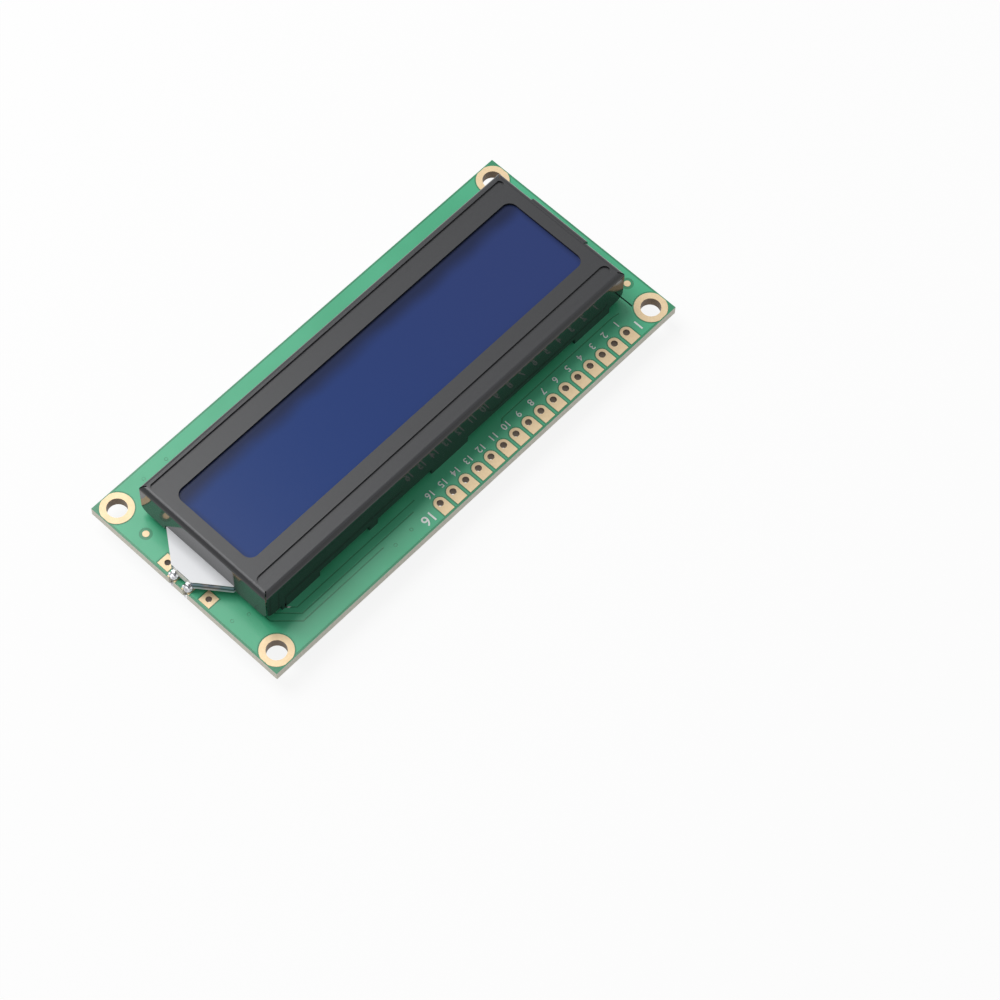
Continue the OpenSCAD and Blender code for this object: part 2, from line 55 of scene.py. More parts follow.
Colour = tuple[float, float, float]
Piece = bpy.types.Object
Socket = bpy.types.NodeSocket

LOG = logging.getLogger("display_module")
MM = 0.001
BODY = "root"


class Side(Enum):
    """The two faces of the circuit board."""

    FRONT = "front"
    BACK = "back"


# ---- modelling helpers ---------------------------------------------------------


def deselect() -> None:
    """Leave edit mode if need be and select nothing."""
    if bpy.context.object is not None and bpy.context.object.mode != "OBJECT":
        bpy.ops.object.mode_set(mode="OBJECT")
    bpy.ops.object.select_all(action="DESELECT")


def pick(pieces: Sequence[Piece]) -> None:
    """Select these pieces alone, with the first one active."""
    deselect()
    for piece in pieces:
        piece.select_set(True)
    bpy.context.view_layer.objects.active = pieces[0]


def join(pieces: Sequence[Piece], name: str) -> Piece:
    """Join meshes into one.

    Args:
        pieces: the meshes, which are used up.
        name: the name of the joined piece.

    Returns:
        The joined piece.
    """
    pick(pieces)
    if len(pieces) > 1:
        bpy.ops.object.join()
    piece = bpy.context.object
    piece.name = name
    piece.data.name = name
    return piece


def to_mesh(piece: Piece) -> Piece:
    """Turn a text or curve into a mesh without doubled points and return it."""
    pick([piece])
    bpy.ops.object.convert(target="MESH")
    piece = bpy.context.object
    bpy.ops.object.mode_set(mode="EDIT")
    bpy.ops.mesh.select_all(action="SELECT")
    bpy.ops.mesh.remove_doubles(threshold=0.0005)
    bpy.ops.mesh.normals_make_consistent(inside=False)
    bpy.ops.object.mode_set(mode="OBJECT")
    return piece


def copies(model: Piece, places: Sequence[Matrix], name: str) -> Piece:
    """Repeat a model at several places as one piece and remove the model.

    Args:
        model: the mesh to repeat.
        places: where each copy goes, as a matrix for its mesh.
        name: the name of the piece.

    Returns:
        The piece that holds all the copies.
    """
    made = []
    for place in places:
        copy = model.copy()
        copy.data = model.data.copy()
        copy.data.transform(place)
        bpy.context.scene.collection.objects.link(copy)
        made.append(copy)
    bpy.data.objects.remove(model)
    return join(made, name)


def smooth(piece: Piece, degrees: float) -> None:
    """Shade a piece smooth except across edges sharper than the angle."""
    pick([piece])
    bpy.ops.object.shade_smooth_by_angle(angle=math.radians(degrees))


def dress(name: str, material: bpy.types.Material) -> None:
    """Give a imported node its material."""
    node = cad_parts[name]
    if not node.material_slots:
        node.data.materials.append(material)
    for slot in node.material_slots:
        slot.material = material
    LOG.info("dressed %s with %s", name, material.name)


def hand_over(piece: Piece, material: bpy.types.Material) -> Piece:
    """Give a new piece its material and the body it rides on."""
    piece.data.materials.clear()
    piece.data.materials.append(material)
    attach(piece, BODY)
    LOG.info("made %s with %d faces", piece.name, len(piece.data.polygons))
    return piece


# ---- finishes --------------------------------------------------------------------


class Shade:
    """A material under construction, with patterns measured in millimetres."""

    def __init__(self, name: str, colour: Colour, roughness: float, metallic: float = 0.0,
                 specular: float = 0.5) -> None:
        """Start a material.

        Args:
            name: the material's name.
            colour: its base colour, linear.
            roughness: its roughness.
            metallic: how metallic it is.
            specular: its specular level.
        """
        self.material = bpy.data.materials.new(name)
        self.material.use_nodes = True
        self.tree = self.material.node_tree
        self.shader = self.tree.nodes["Principled BSDF"]
        self.shader.inputs["Base Color"].default_value = (*colour, 1)
        self.shader.inputs["Roughness"].default_value = roughness
        self.shader.inputs["Metallic"].default_value = metallic
        self.shader.inputs["Specular IOR Level"].default_value = specular
        self.place = self.mapping((1000, 1000, 1000))
        self.axes = self.node("ShaderNodeSeparateXYZ", Vector=self.place).outputs
        geometry = self.node("ShaderNodeNewGeometry")
        self.facing = self.node("ShaderNodeSeparateXYZ", Vector=geometry.outputs["Normal"]).outputs

    def node(self, kind: str, **inputs: object) -> bpy.types.Node:
        """Add a node and fill its inputs, whose names take _ for a space."""
        made = self.tree.nodes.new(kind)
        for name, value in inputs.items():
            self.feed(made.inputs[name.replace("_", " ")], value)
        return made

    def feed(self, target: Socket, value: object) -> None:
        """Link a socket to an input, or set the input to a number or colour."""
        if isinstance(value, bpy.types.NodeSocket):
            self.tree.links.new(value, target)
        elif isinstance(value, tuple) and target.type == "RGBA":
            target.default_value = (*value, 1)
        else:
            target.default_value = value

    def mapping(self, scale: Colour) -> Socket:
        """Object coordinates times a scale for each axis."""
        where = self.tree.nodes.new("ShaderNodeTexCoord").outputs["Object"]
        return self.node("ShaderNodeMapping", Vector=where, Scale=scale).outputs[0]

    def math(self, operation: str, *values: object) -> Socket:
        """The result of a Math node on sockets or numbers."""
        made = self.tree.nodes.new("ShaderNodeMath")
        made.operation = operation
        for target, value in zip(made.inputs, values):
            self.feed(target, value)
        return made.outputs[0]

    def noise(self, size: float, detail: float = 2.0) -> Socket:
        """Noise whose patches are about size millimetres across."""
        made = self.node("ShaderNodeTexNoise", Vector=self.place, Scale=1 / size, Detail=detail)
        return made.outputs["Fac"]

    def step(self, value: Socket, low: float, high: float) -> Socket:
        """A smooth rise from 0 at low to 1 at high."""
        made = self.node("ShaderNodeMapRange", Value=value, From_Min=low, From_Max=high)
        made.interpolation_type = "SMOOTHSTEP"
        return made.outputs[0]

    def mix(self, share: Socket, first: object, second: object) -> Socket:
        """The colour between first and second at a share from 0 to 1."""
        made = self.tree.nodes.new("ShaderNodeMix")
        made.data_type = "RGBA"
        self.feed(made.inputs[0], share)
        self.feed(made.inputs[6], first)
        self.feed(made.inputs[7], second)
        return made.outputs[2]

    def between(self, share: Socket, first: float, second: float) -> Socket:
        """The number between first and second at a share from 0 to 1."""
        made = self.node("ShaderNodeMapRange", Value=share, To_Min=first, To_Max=second)
        return made.outputs[0]

    def bump(self, height: Socket, depth: float) -> None:
        """Let a height from 0 to 1 stand for a relief of depth millimetres."""
        made = self.node("ShaderNodeBump", Height=height, Distance=depth * MM)
        self.feed(self.shader.inputs["Normal"], made.outputs[0])

    def set(self, name: str, value: object) -> None:
        """Link or set one of the shader's own inputs."""
        self.feed(self.shader.inputs[name], value)


@dataclass(frozen=True)
class SolderMask:
    """Green lacquer over the laminate, with the laminate's own colour at cut edges."""

    name: str
    low: Colour
    high: Colour
    patch: float = 9.0
    roughness: float = 0.3
    laminate: Colour = (0.80, 0.77, 0.66)

    def material(self) -> bpy.types.Material:
        """The lacquer's material."""
        shade = Shade(self.name, self.high, self.roughness)
        level = shade.math("ABSOLUTE", shade.facing["Z"])
        fibres = shade.noise(0.35, 3)
        edge = shade.mix(fibres, self.laminate, tuple(0.7 * c for c in self.laminate))
        lacquer = shade.mix(shade.step(shade.noise(self.patch), 0.3, 0.7), self.low, self.high)
        shade.set("Base Color", shade.mix(shade.step(level, 0.25, 0.4), edge, lacquer))
        shade.set("Roughness", shade.between(level, 0.75, self.roughness))
        shade.bump(shade.noise(0.22, 4), 0.006)
        return shade.material


@dataclass(frozen=True)
class Plating:
    """Dull gold over copper in a grainy mix of two tones, with painted shade wherever its faces stand
    upright, as in its holes.
    """

    name: str = "dull_gold"
    colour: Colour = (0.64, 0.47, 0.27)
    worn: Colour = (0.74, 0.59, 0.38)
    barrel: Colour = (0.16, 0.10, 0.05)

    def material(self) -> bpy.types.Material:
        """The plating's material."""
        shade = Shade(self.name, self.colour, 0.42, metallic=0.35)
        grain = shade.noise(0.3, 4)
        # painted shade: upright faces, such as the walls of the holes, take the dark barrel colour
        level = shade.step(shade.math("ABSOLUTE", shade.facing["Z"]), 0.3, 0.6)
        shade.set("Base Color", shade.mix(level, self.barrel, shade.mix(grain, self.colour, self.worn)))
        shade.set("Roughness", shade.between(shade.noise(1.5), 0.34, 0.52))
        shade.bump(grain, 0.004)
        return shade.material


@dataclass(frozen=True)
class Tin:
    """Solder and tinned leads: bright, with frozen ripples."""

    name: str
    ripple: float
    depth: float
    bright: Colour = (0.80, 0.81, 0.83)
    dull: Colour = (0.42, 0.42, 0.44)

    def material(self) -> bpy.types.Material:
        """The metal's material."""
        shade = Shade(self.name, self.bright, 0.22, metallic=0.9)
        waves = shade.noise(self.ripple, 3)
        shade.set("Base Color", shade.mix(shade.step(waves, 0.35, 0.6), self.dull, self.bright))
        shade.set("Roughness", shade.between(waves, 0.36, 0.16))
        shade.bump(waves, self.depth)
        return shade.material


@dataclass(frozen=True)
class BlackSheet:
    """Painted sheet steel: satin on its face, glossy on its walls and darker there as painted shade, bare
    where it was cut.
    """

    name: str = "black_painted_sheet"
    face: Colour = (0.017, 0.018, 0.021)
    # the walls' colour is the face's black darkened as painted shade
    wall: Colour = (0.008, 0.009, 0.011)
    bare: Colour = (0.66, 0.60, 0.56)
    gloss: float = 0.09
    cut_top: float = 5.6
    tab_top: float = 2.3

    def material(self) -> bpy.types.Material:
        """The sheet's material."""
        shade = Shade(self.name, self.face, 0.34)
        lying = shade.step(shade.facing["Z"], 0.75, 0.97)
        across = shade.math("ABSOLUTE", shade.facing["X"])
        along = shade.math("ABSOLUTE", shade.facing["Y"])
        height = shade.axes["Z"]
        low = shade.math("MULTIPLY", shade.step(height, self.cut_top, self.cut_top - 0.2),
                         shade.step(height, self.tab_top, self.tab_top + 0.2))
        near_floor = shade.math("MAXIMUM", low, shade.step(height, 0.06, 0.03))
        under = shade.math("MULTIPLY", shade.step(shade.facing["Z"], -0.55, -0.75), near_floor)
        rim = shade.math("MULTIPLY", shade.math("GREATER_THAN", across, along),
                         shade.step(height, self.tab_top + 0.1, self.tab_top))
        cut = shade.math("MAXIMUM", under, rim)
        # painted shade: the walls get a darker colour than the face, which lies flat
        paint = shade.mix(lying, self.wall, self.face)
        shade.set("Base Color", shade.mix(cut, paint, self.bare))
        shade.set("Metallic", shade.math("MULTIPLY", cut, 0.6))
        satin = shade.between(shade.noise(0.5, 4), 0.30, 0.38)
        extra = shade.math("MULTIPLY", lying, shade.math("SUBTRACT", satin, self.gloss))
        shade.set("Roughness", shade.math("ADD", self.gloss, extra))
        shade.bump(shade.noise(0.18, 3), 0.0025)
        return shade.material


@dataclass(frozen=True)
class LitWindow:
    """The polarizer over the unlit cell: deep blue, with painted shadow along its far edge and painted shade
    at both ends.
    """

    low: Vector
    high: Vector
    margin: float = 0.6
    name: str = "blue_polarizer"
    blue: Colour = (0.015, 0.045, 0.185)
    violet: Colour = (0.026, 0.046, 0.165)
    shadow: Colour = (0.014, 0.020, 0.055)
    far_band: float = 3.4
    end_band: float = 1.0

    def material(self) -> bpy.types.Material:
        """The window's material."""
        shade = Shade(self.name, self.blue, 0.2, specular=0.12)
        centre = (self.low + self.high) / 2
        half_x, half_y = (side / 2 - self.margin for side in (self.high - self.low).xy)
        off_x = shade.math("SUBTRACT", shade.axes["X"], centre.x)
        off_y = shade.math("SUBTRACT", shade.axes["Y"], centre.y)
        tint = shade.mix(shade.step(off_x, half_x, -half_x), self.blue, self.violet)
        soft = shade.math("MULTIPLY", shade.math("SUBTRACT", shade.noise(6, 1), 0.5), 1.4)
        # painted shadow along the far edge and painted shade at both ends, mixed in with the shadow colour
        far = shade.step(shade.math("ADD", off_y, soft), -half_y + self.far_band, -half_y + 0.6)
        ends = shade.step(shade.math("ABSOLUTE", off_x), half_x - self.end_band, half_x + 0.4)
        dark = shade.math("MAXIMUM", shade.math("MULTIPLY", far, 0.85), shade.math("MULTIPLY", ends, 0.6))
        shade.set("Base Color", shade.mix(dark, tint, self.shadow))
        shade.bump(shade.noise(0.12, 3), 0.0006)
        return shade.material


@dataclass(frozen=True)
class Plastic:
    """A plain body colour with a little mottle and grain."""

    name: str
    colour: Colour
    roughness: float = 0.5
    mottle: float = 0.12
    patch: float = 2.0
    grain: float = 0.15
    depth: float = 0.004
    specular: float = 0.5

    def material(self) -> bpy.types.Material:
        """The material."""
        shade = Shade(self.name, self.colour, self.roughness, specular=self.specular)
        darker = tuple((1 - self.mottle) * c for c in self.colour)
        patches = shade.noise(self.patch, 3)
        shade.set("Base Color", shade.mix(patches, darker, self.colour))
        shade.set("Roughness", shade.between(patches, self.roughness - 0.05, self.roughness + 0.06))
        shade.bump(shade.noise(self.grain, 3), self.depth)
        return shade.material


@dataclass(frozen=True)
class LayeredAcrylic:
    """The light guide's clear edge, which shows its foils as level bands."""

    under: float
    top: float
    name: str = "layered_acrylic"
    bands: tuple[tuple[float, Colour], ...] = (
        (0.00, (0.62, 0.64, 0.68)),
        (0.22, (0.50, 0.53, 0.60)),
        (0.34, (0.055, 0.060, 0.075)),
        (0.46, (0.10, 0.115, 0.15)),
        (0.62, (0.27, 0.32, 0.42)),
        (0.84, (0.30, 0.36, 0.46)),
        (0.93, (0.03, 0.03, 0.04)),
    )

    def material(self) -> bpy.types.Material:
        """The acrylic's material."""
        shade = Shade(self.name, self.bands[-2][1], 0.12)
        height = shade.node("ShaderNodeMapRange", Value=shade.axes["Z"], From_Min=self.under,
                            From_Max=self.top).outputs[0]
        wavy = shade.math("ADD", height, shade.math("MULTIPLY", shade.noise(2.5), 0.08))
        ramp = shade.node("ShaderNodeValToRGB", Fac=wavy)
        for place, colour in self.bands[2:]:
            ramp.color_ramp.elements.new(place).color = (*colour, 1)
        for element, (place, colour) in zip(ramp.color_ramp.elements, self.bands):
            element.position = place
            element.color = (*colour, 1)
        shade.set("Base Color", ramp.outputs["Color"])
        shade.bump(shade.noise(0.5), 0.004)
        return shade.material


@dataclass(frozen=True)
class CuredResin:
    """Charcoal potting resin with slow ripples and a fine orange peel."""

    name: str = "charcoal_resin"
    colour: Colour = (0.050, 0.050, 0.053)

    def material(self) -> bpy.types.Material:
        """The resin's material."""
        shade = Shade(self.name, self.colour, 0.42)
        pale = tuple(1.25 * c for c in self.colour)
        shade.set("Base Color", shade.mix(shade.noise(1.2, 4), self.colour, pale))
        shade.set("Roughness", shade.between(shade.noise(2.0), 0.36, 0.50))
        slow = shade.math("MULTIPLY", shade.noise(3.5, 1), 0.8)
        fine = shade.math("MULTIPLY", shade.noise(0.25, 3), 0.06)
        shade.bump(shade.math("ADD", slow, fine), 0.16)
        return shade.material


@dataclass(frozen=True)
class ChipFinish:
    """A chip resistor: black glaze in the middle and tinned caps at both ends."""

    name: str
    centre_x: float
    glaze_half: float
    glaze: Colour = (0.020, 0.020, 0.022)
    tin: Colour = (0.62, 0.62, 0.64)

    def material(self) -> bpy.types.Material:
        """The resistor's material."""
        shade = Shade(self.name, self.glaze, 0.3)
        off = shade.math("ABSOLUTE", shade.math("SUBTRACT", shade.axes["X"], self.centre_x))
        cap = shade.step(off, self.glaze_half, self.glaze_half + 0.04)
        tin = shade.mix(shade.noise(0.2, 3), self.tin, tuple(0.6 * c for c in self.tin))
        shade.set("Base Color", shade.mix(cap, self.glaze, tin))
        shade.set("Metallic", shade.math("MULTIPLY", cap, 0.8))
        shade.bump(shade.noise(0.15, 3), 0.01)
        return shade.material


@dataclass(frozen=True)
class StripedRubber:
    """Elastomer with thin carbon layers across its length."""

    name: str = "striped_rubber"
    pitch: float = 0.18
    carbon: Colour = (0.03, 0.03, 0.03)
    silicone: Colour = (0.72, 0.45, 0.42)

    def material(self) -> bpy.types.Material:
        """The rubber's material."""
        shade = Shade(self.name, self.silicone, 0.6)
        phase = shade.math("FRACT", shade.math("DIVIDE", shade.axes["X"], self.pitch))
        stripe = shade.math("GREATER_THAN", phase, 0.5)
        shade.set("Base Color", shade.mix(stripe, self.silicone, self.carbon))
        shade.bump(shade.noise(0.2), 0.004)
        return shade.material


# ---- the board's two faces ---------------------------------------------------------


@dataclass(frozen=True)
class Face:
    """One face of the board, seen from outside with the header edge up, in millimetres."""

    side: Side
    level: float

    def matrix(self, x: float = 0, y: float = 0, lift: float = 0) -> Matrix:
        """The matrix that takes a mesh in millimetres to its place on this face.

        Args:
            x: distance to the right of the board's centre, as seen from outside.
            y: distance towards the header edge.
            lift: height above the face.

        Returns:
            A matrix into the row frame, in metres.
        """
        flip = Matrix.Rotation(math.pi, 4, "Y") if self.side is Side.BACK else Matrix.Identity(4)
        place = Matrix.Translation((x, y, lift))
        return Matrix.Translation((0, 0, self.level)) @ flip @ Matrix.Scale(MM, 4) @ place


def ribs(routes: Sequence[Route], width: float, height: float, closed: bool = False) -> Piece:
    """Flat ribs along routes, with level tops and sloping sides.

    Args:
        routes: the centre lines, in millimetres.
        width: the width of a rib.
        height: how far it stands up.
        closed: whether each route joins its own start.

    Returns:
        One mesh in millimetres, half above and half below z = 0.
    """
    curve = bpy.data.curves.new("ribs", "CURVE")
    curve.dimensions = "3D"
    curve.bevel_depth = width / 2
    curve.bevel_resolution = 1
    curve.use_fill_caps = True
    for route in routes:
        spline = curve.splines.new("POLY")
        spline.points.add(len(route) - 1)
        for point, (x, y) in zip(spline.points, route):
            point.co = (x, y, 0, 1)
        spline.use_cyclic_u = closed
    piece = bpy.data.objects.new("ribs", curve)
    bpy.context.scene.collection.objects.link(piece)
    piece = to_mesh(piece)
    bpy.ops.object.mode_set(mode="EDIT")
    bpy.ops.mesh.select_all(action="SELECT")
    bpy.ops.transform.resize(value=(1, 1, 2 * height / width), center_override=(0, 0, 0))
    bpy.ops.object.mode_set(mode="OBJECT")
    return piece


def plate(outline: Route, holes: Sequence[Route], thickness: float) -> Piece:
    """A flat plate with holes, in millimetres, standing on z = 0.

    Args:
        outline: its outline.
        holes: the outlines of its holes, which don't touch each other.
        thickness: its thickness.

    Returns:
        The plate's mesh.
    """
    curve = bpy.data.curves.new("plate", "CURVE")
    curve.dimensions = "2D"
    curve.fill_mode = "BOTH"
    curve.extrude = thickness / 2
    for loop in [outline, *holes]:
        spline = curve.splines.new("POLY")
        spline.points.add(len(loop) - 1)
        for point, (x, y) in zip(spline.points, loop):
            point.co = (x, y, 0, 1)
        spline.use_cyclic_u = True
    piece = bpy.data.objects.new("plate", curve)
    bpy.context.scene.collection.objects.link(piece)
    piece = to_mesh(piece)
    piece.data.transform(Matrix.Translation((0, 0, thickness / 2)))
    return piece


def arc(centre: Point, radius: float, start: float, end: float, steps: int = 12) -> Route:
    """Points on an arc from one angle to another, in degrees."""
    turns = [math.radians(start + (end - start) * i / steps) for i in range(steps + 1)]
    return [(centre[0] + radius * math.cos(a), centre[1] + radius * math.sin(a)) for a in turns]


def ring(centre: Point, radius: float, steps: int = 32) -> Route:
    """Points round a circle."""
    return arc(centre, radius, 0, 360, steps)[:-1]


def box(left: float, right: float, low: float, high: float) -> Route:
    """The four corners of a rectangle."""
    return [(left, low), (right, low), (right, high), (left, high)]


def shifted(route: Route, distance: float) -> Route:
    """A line beside another, to its left, with mitred corners.

    Args:
        route: the line's points.
        distance: how far to the left it is moved.

    Returns:
        The moved points.
    """
    points = []
    for i, point in enumerate(route):
        before = Vector(point) - Vector(route[i - 1]) if i else None
        after = Vector(route[i + 1]) - Vector(point) if i + 1 < len(route) else None
        legs = [leg.normalized() for leg in (before, after) if leg is not None]
        along = sum(legs, Vector((0, 0))).normalized()
        normal = Vector((-along.y, along.x))
        reach = distance / max(0.3, abs(Vector((-legs[0].y, legs[0].x)).dot(normal)))
        points.append((point[0] + reach * normal.x, point[1] + reach * normal.y))
    return points


def widen(route: Route, width: float) -> Route:
    """The outline of a line with a width: up its left side and down its right."""
    return shifted(route, width / 2) + shifted(route, -width / 2)[::-1]


def bundle(route: Route, count: int, pitch: float) -> list[Route]:
    """Parallel lines, evenly spaced about a route."""
    return [shifted(route, (i - (count - 1) / 2) * pitch) for i in range(count)]


def dogleg(start: Point, end: Point, bend: float) -> Route:
    """A trace that leaves straight up or down, runs at 45 degrees from y = bend, and ends straight.

    Args:
        start: where it starts.
        end: where it ends.
        bend: the height at which the slanted run starts.

    Returns:
        Its points.
    """
    down = 1 if end[1] < start[1] else -1
    return [start, (start[0], bend), (end[0], bend - down * abs(end[0] - start[0])), end]


@dataclass
class Legend:
    """White ink on one face of the board."""

    face: Face
    line: float = 0.22
    thickness: float = 0.045
    capital_share: float = 0.7
    boldness: float = 0.012

    def __post_init__(self) -> None:
        """Start with no marks."""
        self.marks: list[Piece] = []

    def word(self, text: str, x: float, y: float, height: float) -> None:
        """Print a number or sign whose capitals are height millimetres tall."""
        deselect()
        bpy.ops.object.text_add()
        piece = bpy.context.object
        piece.data.body = text
        piece.data.align_x = "CENTER"
        piece.data.align_y = "CENTER"
        piece.data.size = height / self.capital_share
        piece.data.resolution_u = 4
        piece.data.offset = self.boldness * height
        piece.data.extrude = self.thickness / 2
        piece = to_mesh(piece)
        piece.data.transform(self.face.matrix(x, y, self.thickness / 2))
        self.marks.append(piece)

    def outline(self, routes: Sequence[Route], closed: bool = True, width: float = 0) -> None:
        """Print lines along routes."""
        piece = ribs(routes, width or self.line, self.thickness * 2, closed)
        piece.data.transform(self.face.matrix())
        self.marks.append(piece)

    def finish(self, name: str, ink: bpy.types.Material) -> Piece:
        """Join the marks into one printed piece."""
        return hand_over(join(self.marks, name), ink)


@dataclass
class Copper:
    """Copper under the solder mask on one face, with its tented vias."""

    face: Face
    height: float = 0.03
    via_radius: float = 0.3

    def __post_init__(self) -> None:
        """Start with no copper."""
        self.parts: list[Piece] = []
        self.vias: list[Point] = []

    def traces(self, routes: Sequence[Route], width: float, vias: bool = False) -> None:
        """Lay traces, with a via at each far end if asked."""
        piece = ribs(routes, width, self.height * 2)
        piece.data.transform(self.face.matrix())
        self.parts.append(piece)
        if vias:
            self.vias.extend(route[-1] for route in routes)

    def pour(self, outline: Route, holes: Sequence[Route]) -> None:
        """Lay a plate of copper with clearances."""
        piece = plate(outline, holes, self.height)
        piece.data.transform(self.face.matrix())
        self.parts.append(piece)

    def finish(self, name: str, mask: bpy.types.Material, dark: bpy.types.Material) -> None:
        """Join the copper, and add the vias as rings with a dimple."""
        hand_over(join(self.parts, name), mask)
        if not self.vias:
            return
        deselect()
        bpy.ops.mesh.primitive_cylinder_add(vertices=14, radius=self.via_radius, depth=self.height * 2.4)
        via = bpy.context.object
        bpy.ops.object.mode_set(mode="EDIT")
        bpy.ops.mesh.select_all(action="DESELECT")
        bpy.ops.object.mode_set(mode="OBJECT")
        for face in via.data.polygons:
            face.select = face.normal.z > 0.5
        bpy.ops.object.mode_set(mode="EDIT")
        bpy.ops.mesh.inset(thickness=self.via_radius * 0.38)
        bpy.ops.mesh.inset(thickness=self.via_radius * 0.18)
        bpy.ops.transform.translate(value=(0, 0, -self.height * 1.6))
        bpy.ops.object.mode_set(mode="OBJECT")
        places = [self.face.matrix(x, y) for x, y in self.vias]
        rings = copies(via, places, name + "_vias")
        hand_over(rings, dark)


# ---- the object's own sub-assemblies --------------------------------------------------


@dataclass(frozen=True)
class HeaderRow:
    """The row of header holes, as seen from the front."""

    first: float = -32.0
    pitch: float = 2.54
    count: int = 16
    y: float = 15.8
    pad_half: float = 0.95

    def xs(self) -> list[float]:
        """The place of each hole along the row."""
        return [self.first + i * self.pitch for i in range(self.count)]


@dataclass(frozen=True)
class FrontFace:
    """The board's front: wide copper with thin dark gaps, vias and pin numbers."""

    face: Face
    half: Point
    header: HeaderRow = HeaderRow()
    rim: float = 0.3
    gap: float = 0.2
    hole_inset: float = 2.5
    ring_radius: float = 2.45
    round_lands: tuple[tuple[Point, float], ...] = (
        ((-38.1, 10.4), 0.95), ((37.5, -9.8), 0.95), ((36.1, 0.95), 1.1), ((36.1, -1.65), 1.1),
    )
    terminal_ys: Point = (3.5, -4.5)
    terminal_span: Point = (37.3, 39.62)
    terminal_half: float = 1.2
    vias: tuple[Point, ...] = (
        (31.8, -16.2), (27.5, -16.2), (38.6, 8.1), (36.3, 9.0), (15.0, 15.9), (11.8, 15.8),
    )

    def outline(self) -> Route:
        """The copper's edge: round the corner rings and in between the header pads."""
        reach = self.ring_radius + self.gap
        x, y = self.half[0] - self.rim, self.half[1] - self.rim
        slope = math.degrees(math.asin((self.hole_inset - self.rim) / reach))
        route: Route = []
        for sx, sy in ((-1, -1), (1, -1), (1, 1), (-1, 1)):
            centre = (sx * (self.half[0] - self.hole_inset), sy * (self.half[1] - self.hole_inset))
            middle = math.degrees(math.atan2(-sy, -sx))
            spread = 45 + slope
            start, end = (middle + spread, middle - spread)
            route += arc(centre, reach, start, end, 20)
            if (sx, sy) == (1, 1):
                for hole in reversed(self.header.xs()):
                    pad = self.header.pad_half + self.gap
                    route += [(hole + pad, y)] + arc((hole, self.header.y), pad, 0, -180, 12)
                    route += [(hole - pad, y)]
        return route

    def gaps(self) -> list[Route]:
        """The narrow gaps that part the copper into wide runs."""
        bends = [
            [(33.9, -3.0), (33.9, 11.2), (31.2, 14.1), (9.6, 14.1)],
            [(35.0, 6.2), (35.0, 11.8), (31.9, 15.0), (16.4, 15.0)],
            [(-35.8, 14.0), (-35.8, -8.5), (-34.6, -9.7)],
            [(-33.6, 12.9), (-32.4, 12.7), (-9.6, 12.7), (-9.0, 13.2)],
            [(8.2, 12.9), (31.0, 12.9), (32.4, 11.5), (32.4, 9.0)],
        ]
        return [widen(route, self.gap) for route in bends]

    def build(self, mask: bpy.types.Material, dark: bpy.types.Material, ink: bpy.types.Material) -> None:
        """Make the front's copper, vias and numbers."""
        copper = Copper(self.face)
        lands = [ring(centre, radius) for centre, radius in self.round_lands]
        squares = [box(*self.terminal_span, y - self.terminal_half, y + self.terminal_half)
                   for y in self.terminal_ys]
        copper.pour(self.outline(), lands + squares + self.gaps())
        copper.vias = list(self.vias)
        copper.finish("front_copper", mask, dark)
        legend = Legend(self.face)
        for number, x in enumerate(self.header.xs(), start=1):
            legend.word(str(number), x, 13.8, 1.05)
        legend.word("1", -34.1, 16.1, 1.6)
        legend.word(str(self.header.count), 8.9, 16.3, 1.6)
        legend.finish("front_legend", ink)


